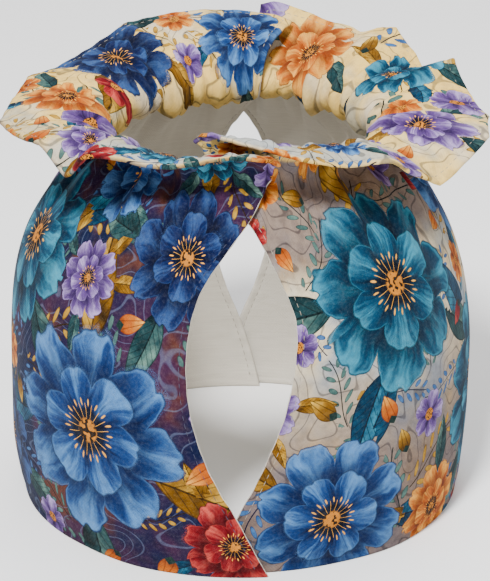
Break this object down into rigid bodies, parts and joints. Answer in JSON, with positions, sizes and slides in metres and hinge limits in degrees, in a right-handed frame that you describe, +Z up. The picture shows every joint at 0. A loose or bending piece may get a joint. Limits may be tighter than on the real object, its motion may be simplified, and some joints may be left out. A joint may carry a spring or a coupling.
{
  "type": "tea cosy",
  "caption": "Padded cloth tea cosy of crossed panels with slits for spout and handle, a gathered neck and an open ruffled collar; it stands over a round teapot.",
  "frame": {"origin": "middle of the outer box, on the plane that the hem stands on", "axes": "+Z up from the hem to the collar; -Y towards the spout slit; +Y towards the handle slit; +X to the right as seen from the spout side"},
  "size_m": [0.1739, 0.1769, 0.1585],
  "materials": {
    "printed_cloth": "matte printed cotton with a fine plain weave, many-coloured flowers on cream and indigo grounds"
  },
  "bodies": {
    "root": {"panel_left": "printed_cloth", "panel_right": "printed_cloth"}
  },
  "joints": []
}
